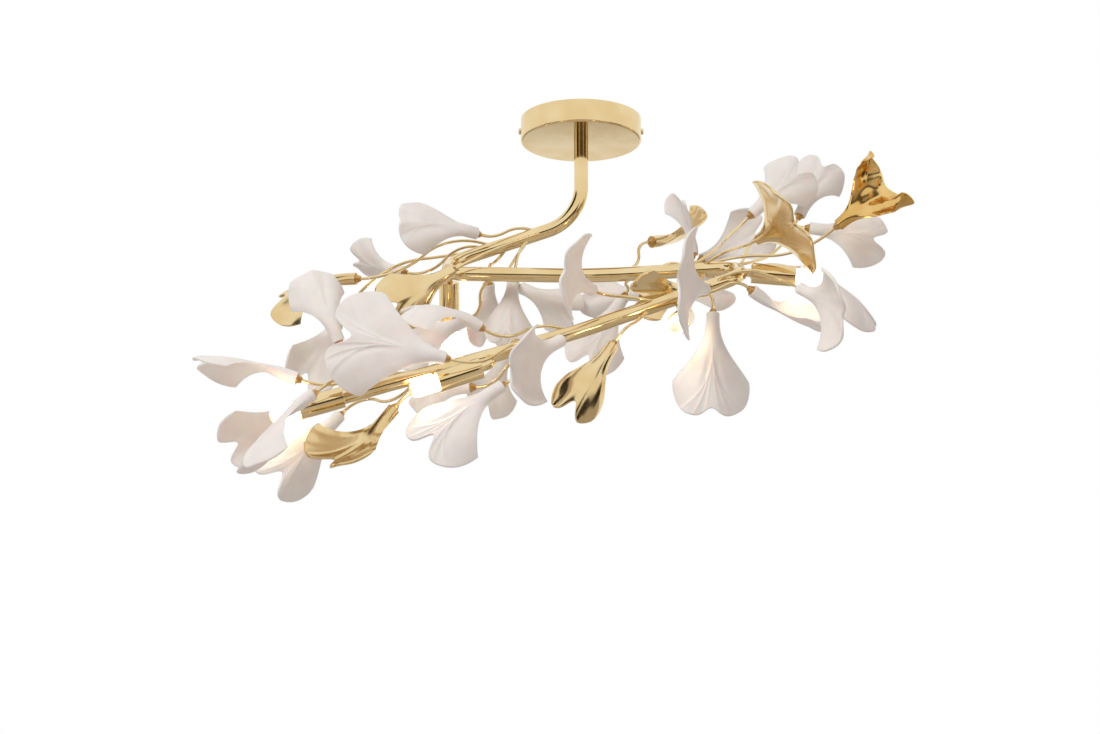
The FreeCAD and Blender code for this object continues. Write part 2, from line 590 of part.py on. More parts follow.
def leaf_point(leaf, share, side):
    # Middle of the blade and its upward normal, in the leaf's own frame
    length, width = size(f"{leaf.kind}_length"), size(f"{leaf.kind}_width")
    side_reach = SIDE_REACH.get(leaf.kind, USUAL_SIDE_REACH)
    dent = leaf.notch * math.exp(-(side / NOTCH_SPREAD) ** 2) * share ** 3
    rim = side_reach + (1 - side_reach) * math.sqrt(1 - abs(side) ** 3) - dent
    along = share * length * rim
    flare = FLARE.get(leaf.kind, USUAL_FLARE)
    half = neck_radius + (width / 2 - neck_radius) * share ** flare
    radius = width / math.radians(leaf.cup)
    arc = side * half / radius
    rise = radius * (1 - math.cos(arc))
    straight = STRAIGHT_SHARE * length
    bend = math.radians(leaf.curl) / (length - straight)
    angle = max(along - straight, 0) * bend
    forward = min(along, straight) + math.sin(angle) / bend
    up = (1 - math.cos(angle)) / bend
    place = Vector(forward - rise * math.sin(angle), radius * math.sin(arc), up + rise * math.cos(angle))
    normal = Vector(-math.sin(angle) * math.cos(arc), -math.sin(arc), math.cos(angle) * math.cos(arc))
    return place, normal


def even_knots(shares):
    # Even knots for a cubic that starts at the first pole and ends at the last
    spans = len(shares) - CUBIC
    counts = [CUBIC + 1] + [1] * (spans - 1) + [CUBIC + 1]
    return counts, [step / spans for step in range(spans + 1)]


def leaf_face(leaf, face):
    # One face of the blade: face +1 is the hollow side, -1 the back
    poles = []
    for share in ALONG:
        blade = smooth((share - ALONG[1]) / (ROUND_NECK_END - ALONG[1]))
        row = []
        for side in ACROSS:
            place, normal = leaf_point(leaf, share, side)
            on_edge = abs(side) == 1 or share == 1
            flat = 0 if on_edge else size("leaf_thick") / 2
            thick = neck_radius * math.sqrt(1 - side * side) * (1 - blade) + flat * blade
            row.append(place + normal * (0 if on_edge else face * thick))
        poles.append(row)
    (counts_along, knots_along), (counts_across, knots_across) = even_knots(ALONG), even_knots(ACROSS)
    surface = Part.BSplineSurface()
    surface.buildFromPolesMultsKnots(poles, counts_along, counts_across, knots_along, knots_across,
                                     False, False, CUBIC, CUBIC)
    return surface


def leaf_solid(leaf):
    surfaces = [leaf_face(leaf, 1), leaf_face(leaf, -1)]
    neck = Part.Face(Part.Wire([surface.uIso(0).toShape() for surface in surfaces]))
    shell = Part.makeShell([*(surface.toShape() for surface in surfaces), neck])
    shell.sewShape()
    solid = Part.makeSolid(shell)
    if solid.Volume < 0:
        solid.reverse()
    return solid


def leaf_axes(leaf):
    heading, lean, roll = (math.radians(angle) for angle in (leaf.heading, leaf.lean, leaf.roll))
    ahead = Vector(math.cos(lean) * math.cos(heading), -math.sin(lean), math.cos(lean) * math.sin(heading))
    facing = Vector(-math.sin(lean) * math.cos(heading), -math.cos(lean), -math.sin(lean) * math.sin(heading))
    facing = facing * math.cos(roll) + facing.cross(ahead) * math.sin(roll)
    return ahead, facing


def arc_edge(start, direction, end):
    # Arc that leaves the start in this direction and reaches the end
    chord = end - start
    bulge = chord - direction * chord.dot(direction)
    if bulge.Length < SAME_PLACE:
        return Part.LineSegment(start, end).toShape()
    normal = unit(bulge)
    radius = chord.dot(chord) / (2 * chord.dot(normal))
    half = math.atan2(chord.dot(normal), chord.dot(direction))
    middle = start + (direction * math.sin(half) + normal * (1 - math.cos(half))) * radius
    return Part.Arc(start, middle, end).toShape()


def two_arcs(start, leave, end, arrive):
    # The pair of tangent arcs with equal tangent lengths between two ends
    span, both, spread = end - start, leave + arrive, 1 - leave.dot(arrive)
    slope = span.dot(both)
    reach = (math.sqrt(slope ** 2 + 2 * spread * span.dot(span)) - slope) / (2 * spread)
    meet = (start + end + (leave - arrive) * reach) * 0.5
    through = unit(end - arrive * reach - start - leave * reach)
    return [arc_edge(start, leave, meet), arc_edge(meet, through, end)]


def leaf_rod(leaf, neck, ahead):
    point, along = at(leaf.run, leaf.station)
    up = unit(Vector(0, 0, 1) - along * along.z)
    near = Vector(0, -1, 0)
    near = unit(near - along * near.dot(along) - up * near.dot(up))
    seat, rise = math.radians(leaf.seat), math.radians(size("rod_angle"))
    out = up * math.cos(seat) + near * math.sin(seat)
    start = point + out * tube_radius
    stop = neck - ahead * size("rod_straight")
    tries = []
    for go in (along, along * -1):
        leave = go * math.cos(rise) + out * math.sin(rise)
        root = Part.LineSegment(start - leave * size("rod_root"), start).toShape()
        arcs = two_arcs(start, leave, stop, ahead)
        tries.append([root, *arcs, Part.LineSegment(stop, neck).toShape()])
    path = min(tries, key=lambda edges: sum(edge.Length for edge in edges))
    return piped(Part.Wire(path), rod_radius).cut(seat_bar(point, along, tube_radius, size("rod_trim")))


rods = []
nuts = []
blades = {}
for leaf in LEAVES:
    ahead, facing = leaf_axes(leaf)
    neck = at(leaf.run, leaf.station)[0] + Vector(*leaf.offset)
    blade = leaf_solid(leaf)
    blade.Placement = Placement(neck, Rotation(ahead, facing.cross(ahead), facing, "XYZ"))
    blades.setdefault(leaf.node, []).append(blade)
    rods.append(leaf_rod(leaf, neck, ahead))
    nuts.append(placed(leaf_nut, lamp_place(neck - ahead * size("leaf_nut_length"), ahead)))
node(shape_node("leaf_stems", Part.makeCompound(rods)), "leaf_stems")
node(shape_node("leaf_nuts", Part.makeCompound(nuts)), "leaf_nuts")
for name, solids in blades.items():
    node(shape_node(name, solids[0] if len(solids) == 1 else Part.makeCompound(solids)), name)

# Test everything, then write one file for each node

doc.recompute()
for item in doc.Objects:
    if "Invalid" in item.State or "Error" in item.State:
        raise RuntimeError(f"{item.Label} failed")
for item in nodes:
    if item.Shape.isNull() or not item.Shape.isValid():
        raise RuntimeError(f"{item.Label} has no valid shape")
    if not item.Shape.Solids or any(solid.Volume <= 0 for solid in item.Shape.Solids):
        raise RuntimeError(f"{item.Label} has no solid")
os.makedirs("parts", exist_ok=True)
for item in nodes:
    item.Shape.exportStep(f"parts/{item.Label}.step")
print(f"{len(nodes)} nodes, {sum(len(item.Shape.Solids) for item in nodes)} solids")
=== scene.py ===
import math

import bmesh
import bpy
from mathutils import Matrix, Vector


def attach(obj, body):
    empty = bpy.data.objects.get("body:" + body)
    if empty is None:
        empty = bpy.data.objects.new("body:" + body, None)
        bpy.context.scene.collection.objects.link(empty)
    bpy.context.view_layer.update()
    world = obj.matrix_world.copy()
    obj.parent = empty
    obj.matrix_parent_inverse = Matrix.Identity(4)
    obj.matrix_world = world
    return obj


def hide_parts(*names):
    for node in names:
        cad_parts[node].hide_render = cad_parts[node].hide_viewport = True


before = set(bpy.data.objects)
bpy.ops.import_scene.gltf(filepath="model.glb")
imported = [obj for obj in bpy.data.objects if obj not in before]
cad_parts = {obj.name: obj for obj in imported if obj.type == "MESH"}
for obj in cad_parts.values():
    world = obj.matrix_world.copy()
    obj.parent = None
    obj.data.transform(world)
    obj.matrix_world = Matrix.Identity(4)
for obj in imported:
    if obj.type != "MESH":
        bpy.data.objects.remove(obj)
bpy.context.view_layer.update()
mm = 0.001
sameSpot = 1e-6  # points closer than this, in metres, are one
print("frame loaded:", len(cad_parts), "nodes")


# helpers for colour, nodes and pieces

def hexColour(text):
    # sRGB to linear, by the usual formula
    parts = [int(text[start:start + 2], 16) / 255 for start in (0, 2, 4)]
    linear = [part / 12.92 if part <= 0.04045 else ((part + 0.055) / 1.055) ** 2.4 for part in parts]
    return (*linear, 1.0)


def addNode(tree, kind, settings=None, ramp=None, **inputs):
    # an input is named with _ for each space, or by its number after a _
    node = tree.nodes.new(kind)
    for name, value in (settings or {}).items():
        setattr(node, name, value)
    if ramp:  # two stops, each a place and a hex colour
        for stop, (place, colour) in zip(node.color_ramp.elements, ramp):
            stop.position = place
            stop.color = hexColour(colour)
    for name, value in inputs.items():
        socket = node.inputs[int(name[1:])] if name[1:].isdigit() else node.inputs[name.replace("_", " ")]
        if isinstance(value, bpy.types.NodeSocket):
            tree.links.new(value, socket)
        else:
            socket.default_value = value
    return node


def startMaterial(name):
    material = bpy.data.materials.new(name)
    material.use_nodes = True
    tree = material.node_tree
    tree.nodes.clear()
    place = addNode(tree, "ShaderNodeTexCoord").outputs["Object"]
    return material, tree, place


def finishMaterial(tree, shader):
    addNode(tree, "ShaderNodeOutputMaterial", Surface=shader.outputs[0])


def perMetre(sizeMm):
    return 1 / (sizeMm * mm)  # texture scale that gives features of this size


def makePiece(name, bm, materials, body, node, sharpAngle=40):
    mesh = bpy.data.meshes.new(name)
    bm.to_mesh(mesh)
    bm.free()
    for material in materials:
        mesh.materials.append(material)
    mesh.shade_smooth()
    mesh.set_sharp_from_angle(angle=math.radians(sharpAngle))
    piece = bpy.data.objects.new(name, mesh)
    bpy.context.scene.collection.objects.link(piece)
    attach(piece, body)
    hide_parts(node)
    return piece


def joinInto(whole, bm):
    # adds one bmesh to another, by way of a mesh that is then removed
    mesh = bpy.data.meshes.new("passing")
    bm.to_mesh(mesh)
    bm.free()
    whole.from_mesh(mesh)
    bpy.data.meshes.remove(mesh)


def turned(profile, steps):
    # a profile of radius and height in millimetres, spun round Z
    bm = bmesh.new()
    verts = [bm.verts.new((radius * mm, 0, height * mm)) for radius, height in profile]
    edges = [bm.edges.new(pair) for pair in zip(verts, verts[1:])]
    bmesh.ops.spin(bm, geom=verts + edges, axis=(0, 0, 1), cent=(0, 0, 0), angle=2 * math.pi,
                   steps=steps, use_merge=True)
    bmesh.ops.remove_doubles(bm, verts=bm.verts, dist=sameSpot)
    bmesh.ops.recalc_face_normals(bm, faces=bm.faces)
    return bm


def smoothStep(share):
    share = min(max(share, 0), 1)
    return share * share * (3 - 2 * share)


def standOn(point, axis):
    # from a shape that stands on the origin along Z to its place on the light
    return Matrix.Translation(point * mm) @ axis.to_track_quat("Z", "Y").to_matrix().to_4x4()


# materials

def makeGoldPlate(name, pale, deep, roughness, rippleMm, ripple):
    # polished gold on brass or glaze: a pale mirror with slow unevenness and a trace of rubbing
    material, tree, place = startMaterial(name)
    drift = addNode(tree, "ShaderNodeTexNoise", Vector=place, Scale=perMetre(35), Detail=2.0)
    colour = addNode(tree, "ShaderNodeValToRGB", ramp=((0.35, deep), (0.65, pale)), Fac=drift.outputs["Fac"])
    rub = addNode(tree, "ShaderNodeTexNoise", Vector=place, Scale=perMetre(2.5), Detail=4.0)
    gloss = addNode(tree, "ShaderNodeMapRange", Value=rub.outputs["Fac"], To_Min=roughness * 0.6,
                    To_Max=roughness * 1.4)
    swell = addNode(tree, "ShaderNodeTexNoise", Vector=place, Scale=perMetre(rippleMm), Detail=1.0)
    bump = addNode(tree, "ShaderNodeBump", Strength=ripple, Distance=0.4 * mm, Height=swell.outputs["Fac"])
    shader = addNode(tree, "ShaderNodeBsdfPrincipled", Base_Color=colour.outputs["Color"], Metallic=1.0,
                     Roughness=gloss.outputs["Result"], Normal=bump.outputs["Normal"])
    finishMaterial(tree, shader)
    return material


def makeBisque():
    # slip-cast bisque porcelain: matt white, fine grain, light soaks in and comes out warm at thin edges
    # the real grain is finer, and is drawn at 0.9 mm so that it shows
    material, tree, place = startMaterial("bisque_porcelain")
    cloud = addNode(tree, "ShaderNodeTexNoise", Vector=place, Scale=perMetre(18), Detail=3.0)
    colour = addNode(tree, "ShaderNodeValToRGB", ramp=((0.3, "F1EDEB"), (0.7, "F8F5F3")),
                     Fac=cloud.outputs["Fac"])
    grain = addNode(tree, "ShaderNodeTexNoise", Vector=place, Scale=perMetre(0.9), Detail=3.0)
    bump = addNode(tree, "ShaderNodeBump", Strength=0.12, Distance=0.1 * mm, Height=grain.outputs["Fac"])
    shader = addNode(tree, "ShaderNodeBsdfPrincipled", Base_Color=colour.outputs["Color"], Roughness=0.5,
                     IOR=1.5, Subsurface_Weight=0.5, Subsurface_Radius=(1.0, 0.6, 0.4),
                     Subsurface_Scale=3 * mm, Normal=bump.outputs["Normal"])
    finishMaterial(tree, shader)
    return material


def makeFrostedLamp():
    # etched quartz capsule, lit: white along the middle, going warm and dim towards both ends
    # the real etching is finer, and is drawn at 1.2 mm so that it shows
    material, tree, place = startMaterial("frosted_lamp_glass")
    lit = addNode(tree, "ShaderNodeAttribute", {"attribute_name": "lampGlow"}).outputs["Fac"]
    glow = addNode(tree, "ShaderNodeValToRGB", ramp=((0.0, "FFC08A"), (0.8, "FFE2C0")), Fac=lit)
    power = addNode(tree, "ShaderNodeMapRange", Value=lit, To_Min=0.6, To_Max=12.0)
    etch = addNode(tree, "ShaderNodeTexNoise", Vector=place, Scale=perMetre(1.2), Detail=2.0)
    bump = addNode(tree, "ShaderNodeBump", Strength=0.1, Distance=0.1 * mm, Height=etch.outputs["Fac"])
    shader = addNode(tree, "ShaderNodeBsdfPrincipled", Base_Color=hexColour("FBF3E6"), Roughness=0.4,
                     IOR=1.46, Emission_Color=glow.outputs["Color"],
                     Emission_Strength=power.outputs["Result"], Normal=bump.outputs["Normal"])
    finishMaterial(tree, shader)
    return material


def makePlain(name, low, high, grainMm, roughness, metallic=0.0):
    # small parts of one colour, with the grain of the way each was made, coarse enough to show
    material, tree, place = startMaterial(name)
    grain = addNode(tree, "ShaderNodeTexNoise", Vector=place, Scale=perMetre(grainMm), Detail=3.0)
    colour = addNode(tree, "ShaderNodeValToRGB", ramp=((0.3, low), (0.7, high)), Fac=grain.outputs["Fac"])
    bump = addNode(tree, "ShaderNodeBump", Strength=0.1, Distance=0.1 * mm, Height=grain.outputs["Fac"])
    shader = addNode(tree, "ShaderNodeBsdfPrincipled", Base_Color=colour.outputs["Color"], Metallic=metallic,
                     Roughness=roughness, Normal=bump.outputs["Normal"])
    finishMaterial(tree, shader)
    return material


# gold: name, pale and deep colour, roughness, ripple in millimetres and its strength
goldPlate = makeGoldPlate("gold_plated_polished_brass", "EBD5A6", "E2C792", 0.09, 30, 0.05)
# gold fired on a glaze: a softer mirror than the plate
giltGlaze = makeGoldPlate("gilt_glazed_porcelain", "E9D2A2", "DFC28C", 0.17, 28, 0.1)
# the same in the flower, with its colour painted deeper and warmer for the light its folds throw on each
# other
giltPaintedFoldLight = makeGoldPlate("gilt_glazed_porcelain_painted_fold_light", "EAC784", "D8AA5C", 0.2, 12, 0.1)
bisque = makeBisque()
lampGlass = makeFrostedLamp()
# plain parts: name, darker and paler colour, grain in millimetres, roughness
brownedBrass = makePlain("turned_browned_brass", "B8894F", "D6B279", 0.6, 0.28, metallic=1.0)  # toffee brown
steatite = makePlain("pressed_steatite", "E6E0D4", "F0EBE0", 0.5, 0.6)  # chalky
lampPin = makePlain("nickel_lamp_pin", "A8A6A2", "BDBBB6", 0.4, 0.3, metallic=1.0)  # grey with a soft shine
zincPlate = makePlain("zinc_plated_steel", "A3A4A2", "C2C2BD", 1.5, 0.38, metallic=1.0)  # faintly spangled
terminalPlastic = makePlain("moulded_polyamide", "DAD8D0", "E4E2DB", 0.8, 0.5)  # even and a little waxy
leadSleeve = makePlain("extruded_silicone_sleeve", "CFC7B4", "DCD5C4", 0.6, 0.65)  # matt cream
print("materials made")

cadFinishes = {
    "canopy": goldPlate, "stem_tube": goldPlate, "middle_tube": goldPlate, "front_tube": goldPlate,
    "lamp_arms": goldPlate, "leaf_stems": goldPlate, "canopy_screw_left": goldPlate,
    "canopy_screw_right": goldPlate, "ceiling_bracket": zincPlate, "stem_nipple": zincPlate,
    "nipple_fasteners": zincPlate, "terminal_block": terminalPlastic, "supply_lead": leadSleeve,
    "lamp_holders": steatite,
}
for nodeName, finish in cadFinishes.items():
    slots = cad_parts[nodeName].data.materials
    slots.clear()
    slots.append(finish)
print("CAD nodes finished:", len(cadFinishes))

# the bent tube that carries everything: its corners, and the runs between them, in millimetres

branch = {
    "bend": Vector((0, 0, -104)), "leftBack": Vector((-130, 28, -140)),
    "leftFront": Vector((-130, -18, -165)), "middle": Vector((10, -36, -173)),
    "rightBack": Vector((150, -34, -164)), "rightFront": Vector((150, -78, -186)),
    "front": Vector((-6, -92, -245)), "end": Vector((-222, -112, -313)),
}
runs = {
    "upper": ("bend", "leftBack"), "left": ("leftBack", "leftFront"),
    "middle": ("leftFront", "middle", "rightBack"), "right": ("rightBack", "rightFront"),
    "front": ("rightFront", "front", "end"),
}


def onRun(run, station):
    # point and direction at a distance along a run; a negative distance counts from its end
    corners = [branch[name] for name in runs[run]]
    legs = [after - before for before, after in zip(corners, corners[1:])]
    left = station if station >= 0 else sum(leg.length for leg in legs) + station
    for before, leg in zip(corners, legs):
        if left <= leg.length or leg is legs[-1]:
            return before + leg.normalized() * left, leg.normalized()
        left -= leg.length


# lamps: a turned cup with an eased lip, and a capsule bulb in it; sizes in millimetres from the cup's back

lampCup = {"radius": 10, "wall": 1, "back": 2, "length": 42, "hole": 2.8, "lip": 0.35, "steps": 64}
lampBulb = {
    "radius": 8, "base": 6.5, "foot": 22.3, "baseHeight": 8, "shoulder": 2, "end": 70, "dome": 7.6,
    "domeStep": 10, "wallRings": 12, "steps": 48,  # degrees between the dome's rings, and counts
    "coolUntil": 38, "warmUp": 9,  # where the glow starts, and how far it takes to reach white
    "pinRadius": 0.75, "pinOffset": 4.5, "pinLength": 8, "pinSteps": 12,
}
lampRows = [  # run, station, way out of the tube, reach, axis, distance from elbow to cup
    ("front", -140, (0, -0.82, -0.57), 24, (-0.93, -0.1, -0.34), 12),
    ("right", 24.6, (0.98, -0.1, -0.14), 12, None, 0),
    ("front", 66, (0, -0.3, -0.95), 22, (-0.18, -0.9, -0.4), 8),
    ("left", 26.2, (0, 0.6, -0.8), 14, None, 0),
]


def lampPlaces():
    places = [(branch["end"], (branch["end"] - branch["front"]).normalized())]
    for run, station, out, reach, axis, leadIn in lampRows:
        point, along = onRun(run, station)
        out = Vector(out)
        out = (out - along * out.dot(along)).normalized()
        axis = Vector(axis).normalized() if axis else out
        places.append((point + out * reach + axis * leadIn, axis))
    return places


def makeCup():
    outside, hole, lip = lampCup["radius"], lampCup["hole"], lampCup["lip"]
    back, length = lampCup["back"], lampCup["length"]
    inside = outside - lampCup["wall"]
    profile = [(hole, 0), (outside - lip, 0), (outside, lip), (outside, length - lip),
               (outside - lip, length), (inside + lip, length), (inside, length - lip), (inside, back),
               (hole, back), (hole, 0)]
    return turned(profile, lampCup["steps"])


def makeBulb():
    radius, base, dome = lampBulb["radius"], lampBulb["base"], lampBulb["dome"]
    foot, end, rings = lampBulb["foot"], lampBulb["end"], lampBulb["wallRings"]
    baseEnd = foot + lampBulb["baseHeight"]
    wallStart = baseEnd + lampBulb["shoulder"]
    domeStart = end - dome
    quarter = [math.radians(angle) for angle in range(0, 91, lampBulb["domeStep"])]
    cap = [(radius - dome + dome * math.cos(angle), domeStart + dome * math.sin(angle)) for angle in quarter]
    wall = [(radius, wallStart + (domeStart - wallStart) * ring / rings) for ring in range(rings)]
    bm = turned([(0, foot), (base, foot), (base, baseEnd), *wall, *cap, (0, end)], lampBulb["steps"])
    for face in bm.faces:
        face.material_index = 0 if face.calc_center_median().z > baseEnd * mm else 1
    pinRadius, pinStart = lampBulb["pinRadius"], foot - lampBulb["pinLength"]
    pinProfile = [(0, pinStart), (pinRadius, pinStart), (pinRadius, foot), (0, foot)]
    for side in (-1, 1):
        pin = turned(pinProfile, lampBulb["pinSteps"])
        for face in pin.faces:
            face.material_index = 2
        bmesh.ops.translate(pin, verts=pin.verts, vec=(side * lampBulb["pinOffset"] * mm, 0, 0))
        joinInto(bm, pin)
    glow = bm.verts.layers.float.new("lampGlow")
    warmUp = lampBulb["warmUp"]
    for vert in bm.verts:
        height = vert.co.z / mm
        fromCup, fromTip = height - lampBulb["coolUntil"], end - height
        vert[glow] = smoothStep(fromCup / warmUp) * smoothStep(fromTip / warmUp)
    return bm


cups = bmesh.new()
for number, (point, axis) in enumerate(lampPlaces(), start=1):
    cup = makeCup()
    cup.transform(standOn(point, axis))
    joinInto(cups, cup)
    bulb = makeBulb()
    bulb.transform(standOn(point, axis))
    makePiece(f"lampBulb{number}", bulb, [lampGlass, steatite, lampPin], f"bulb_{number}", f"bulb_{number}")
makePiece("lampCups", cups, [goldPlate], "fixture", "lamp_cups")
print("lamps made")

# leaves: a round neck opens into a two-lobed fan, cupped across and curled along, with veins on the back

leafForm = {
    "neck": 6, "thick": 3,  # radius and wall, in millimetres
    "straight": 0.2, "roundFrom": 0.08, "roundUntil": 0.5,  # shares of the length: no curl, round to flat
    "cell": (1.5, 0.85),  # mesh size along and across, in millimetres
    "crowding": (1.5, 1.4),  # powers that crowd the mesh towards the rim and the sides
    "sizes": {"giant": (110, 106), "large": (100, 86), "medium": (82, 66), "small": (66, 54),
              "trumpet": (66, 130)},  # length and width, in millimetres
    "flare": {"leaf": 2.7, "giant": 1.9},  # power by which the blade widens
    "sideReach": {"leaf": 0.62, "trumpet": 0.85},  # share of the length at the side corners
    "rimPower": 3, "notchSpread": 0.2, "notchPower": 3,  # how square the rim is, how wide and short its notch
    "ruffle": {"leaf": (1.0, 1.5), "trumpet": (3.5, 1.5)},  # height in millimetres, waves across
    "rufflePower": 4,  # how close to the rim it keeps
    "crumple": {"leaf": (0, 1), "trumpet": (1.6, 24)},  # height and spacing of dents, in millimetres
    "crumplePower": 2, "crumpleSlant": (0.5, 0.3),  # how it grows outwards, how its two ways lean
    "veins": [(0.30, 0.14, 0.8), (0.34, -0.18, 0.8), (0.38, 0.40, 1.0), (0.42, -0.46, 1.0),
              (0.50, 0.70, 0.9), (0.54, -0.74, 0.9)],  # start along, end across, strength
    "veinHeight": 0.6, "veinWidth": 0.8, "foldDepth": 0.5, "foldWidth": 2.4,  # in millimetres
    "veinBow": 0.8, "veinGrowth": 4, "foldAway": 1.4, "veinFade": 3,  # bend, rise, fold's place, fade at rim
    "faint": 0.4, "boldVeins": {"white_leaf_24", "white_leaf_20", "white_leaf_25", "white_leaf_18"},
    "sharpAngle": 75, "flower": "gold_leaf_5",
}
leafRows = [  # piece, run, station, offset of the neck, heading, lean, roll, size, notch, cup, curl
    ("white_leaf_01", "upper", 52, (-54, -11, -1), 174, 30, 165, "medium", 0.02, 100, 20),
    ("white_leaf_02", "upper", 105, (-78, 19, -14), 163, -20, 235, "small", 0.2, 100, 20),
    ("gold_leaf_1", "upper", 98, (-128, -19, -35), 178, -15, 140, "large", 0.2, 120, 40),
    ("white_leaf_03", "upper", 80, (-159, -1, -74), -124, -15, 20, "medium", 0.2, 110, 20),
    ("gold_leaf_2", "upper", 45, (-83, -51, -54), -143, 20, 190, "medium", 0.2, 90, 20),
    ("white_leaf_04", "upper", 84, (-12, -7, -41), -89, -40, 0, "small", 0.2, 100, 20),
    ("white_leaf_05", "upper", 58, (-12, -12, -49), -97, 10, 180, "small", 0.2, 100, 20),
    ("white_leaf_06", "upper", 62, (0, -2, -51), -30, 15, 180, "small", 0.2, 80, 20),
    ("white_leaf_07", "middle", 40, (-23, 23, -40), -160, -25, 0, "medium", 0.2, 100, 20),
    ("gold_leaf_3", "middle", -104, (23, 36, 44), 22, -40, 100, "medium", 0.2, 130, 20),
    ("white_leaf_08", "middle", -71, (28, 10, 21), 93, -5, 120, "small", 0.2, 110, 20),
    ("white_leaf_09", "middle", -77, (48, 80, 38), 30, -20, 0, "medium", 0.2, 90, 20),
    ("white_leaf_10", "middle", -67, (-26, 35, -14), 170, -10, 180, "small", 0.2, 90, 20),
    ("white_leaf_11", "middle", -107, (-3, 8, -21), -122, -5, 180, "medium", 0.2, 80, 20),
    ("gold_leaf_4", "middle", -32, (-9, -22, -26), -172, 0, 20, "small", 0.2, 110, 20),
    ("white_leaf_12", "middle", -92, (30, 43, -6), 8, -20, 0, "small", 0.2, 90, 20),
    ("white_leaf_13", "middle", -42, (62, 65, 78), 44, 0, 180, "medium", 0.2, 90, 20),
    ("white_leaf_14", "middle", -26, (97, 95, 86), 65, -10, 180, "medium", 0.2, 110, 20),
    ("gold_leaf_5", "middle", -34, (139, 55, 63), 38, 15, 0, "trumpet", 0.05, 250, -15),
    ("white_leaf_15", "middle", -38, (117, 79, 68), -8, 0, 180, "medium", 0.2, 90, 20),
    ("white_leaf_16", "middle", -28, (92, 49, 14), -20, 0, 245, "large", 0.2, 100, 45),
    ("gold_leaf_6", "middle", -30, (52, -6, 29), -8, 68, -44, "giant", 0.2, 40, 20),
    ("white_leaf_17", "front", 22, (74, -30, -14), -48, 48, -56, "large", 0.1, 80, 20),
    ("white_leaf_18", "front", 44, (51, -4, -1), -30, -25, 60, "medium", 0.2, 90, 20),
    ("white_leaf_19", "front", 34, (-5, -35, -12), -155, 64, 32, "giant", 0.1, 40, 20),
    ("white_leaf_20", "front", 52, (19, -37, -31), -92, 10, 180, "large", 0.08, 120, 20),
    ("gold_leaf_7", "front", 100, (-30, -43, -47), -122, 12, 185, "medium", 0.2, 170, 20),
    ("white_leaf_21", "front", 92, (-56, -23, 10), 186, 66, 20, "large", 0.1, 80, 20),
    ("white_leaf_22", "front", 125, (-54, -46, -35), -140, 40, 45, "large", 0.06, 110, 20),
    ("white_leaf_23", "front", -215, (-79, 13, 12), 152, 18, 115, "medium", 0.2, 100, 55),
    ("white_leaf_24", "front", -190, (-85, -55, -30), 168, 12, 180, "giant", 0.2, 60, 20),
    ("white_leaf_25", "front", -190, (-34, -30, -50), -143, 15, 160, "large", 0.2, 90, 20),
    ("white_leaves_behind_tube", "front", -195, (-36, 35, -3), -112, -20, 180, "small", 0.2, 90, 20),
    ("white_leaves_behind_tube", "front", -170, (-45, 37, -28), 178, -15, 180, "small", 0.2, 80, 20),
    ("gold_leaf_8", "front", -77, (-26, -10, -35), -127, 8, 328, "large", 0.2, 100, 45),
    ("white_leaf_26", "front", -85, (-90, 42, 42), 112, 10, 170, "medium", 0.02, 120, 45),
    ("white_leaf_27", "front", -40, (-82, 9, 9), 160, 0, 90, "large", 0.2, 80, 25),
    ("white_leaf_28", "front", -50, (-72, -42, -22), -139, 12, 105, "large", 0.2, 120, 20),
    ("white_leaf_29", "front", -45, (-92, 60, -6), -150, -10, 20, "medium", 0.2, 120, 20),
    ("white_leaf_30", "front", -65, (-68, 36, -27), -128, 20, 205, "large", 0.2, 130, 20),
]


def bladePoint(share, side, kind, notch, cup, curl):
    # middle of the blade and its upward normal, at a share of its length and of its half width
    form = leafForm
    length, width = form["sizes"][kind]
    reach = form["sideReach"].get(kind, form["sideReach"]["leaf"])
    dent = notch * math.exp(-(side / form["notchSpread"]) ** 2) * share ** form["notchPower"]
    rim = reach + (1 - reach) * math.sqrt(1 - abs(side) ** form["rimPower"]) - dent
    along = share * length * rim
    flare = form["flare"].get(kind, form["flare"]["leaf"])
    half = form["neck"] + (width / 2 - form["neck"]) * share ** flare
    radius = width / math.radians(cup)
    arc = side * half / radius
    rise = radius * (1 - math.cos(arc))
    straight = form["straight"] * length
    bend = math.radians(curl) / (length - straight)
    angle = max(along - straight, 0) * bend
    forward = min(along, straight) + math.sin(angle) / bend
    up = (1 - math.cos(angle)) / bend
    place = Vector((forward - rise * math.sin(angle), radius * math.sin(arc), up + rise * math.cos(angle)))
    normal = Vector((-math.sin(angle) * math.cos(arc), -math.sin(arc), math.cos(angle) * math.cos(arc)))
    return place, normal, half


def veinRise(share, side, half):
    # each vein is a fine ridge with a soft fold on its outer side
    form = leafForm
    rise = 0
    for start, end, strength in form["veins"]:
        if share <= start:
            continue
        run = (share - start) / (1 - start)
        away = (side - end * run ** form["veinBow"]) * half * math.copysign(1, end)
        ridge = math.exp(-(away / form["veinWidth"]) ** 2)
        fold = math.exp(-(away / form["foldWidth"] - form["foldAway"]) ** 2)
        grown = strength * min(1, form["veinGrowth"] * run)
        rise += grown * (form["veinHeight"] * ridge - form["foldDepth"] * fold)
    return rise


def lipRise(number, kind, share, side, half):
    # the rim's waves, which start elsewhere on each leaf, and the flower's dents
    form = leafForm
    ruffle, waves = form["ruffle"].get(kind, form["ruffle"]["leaf"])
    crumple, spacing = form["crumple"].get(kind, form["crumple"]["leaf"])
    along, across = share * form["sizes"][kind][0], side * half
    leanOut, leanIn = form["crumpleSlant"]
    wave = math.sin(2 * math.pi * waves * side + number)
    dentOut = math.sin(2 * math.pi * (along + leanOut * across) / spacing)
    dentIn = math.sin(2 * math.pi * (across - leanIn * along) / spacing)
    dents = crumple * share ** form["crumplePower"] * dentOut * dentIn
    return ruffle * share ** form["rufflePower"] * wave + dents


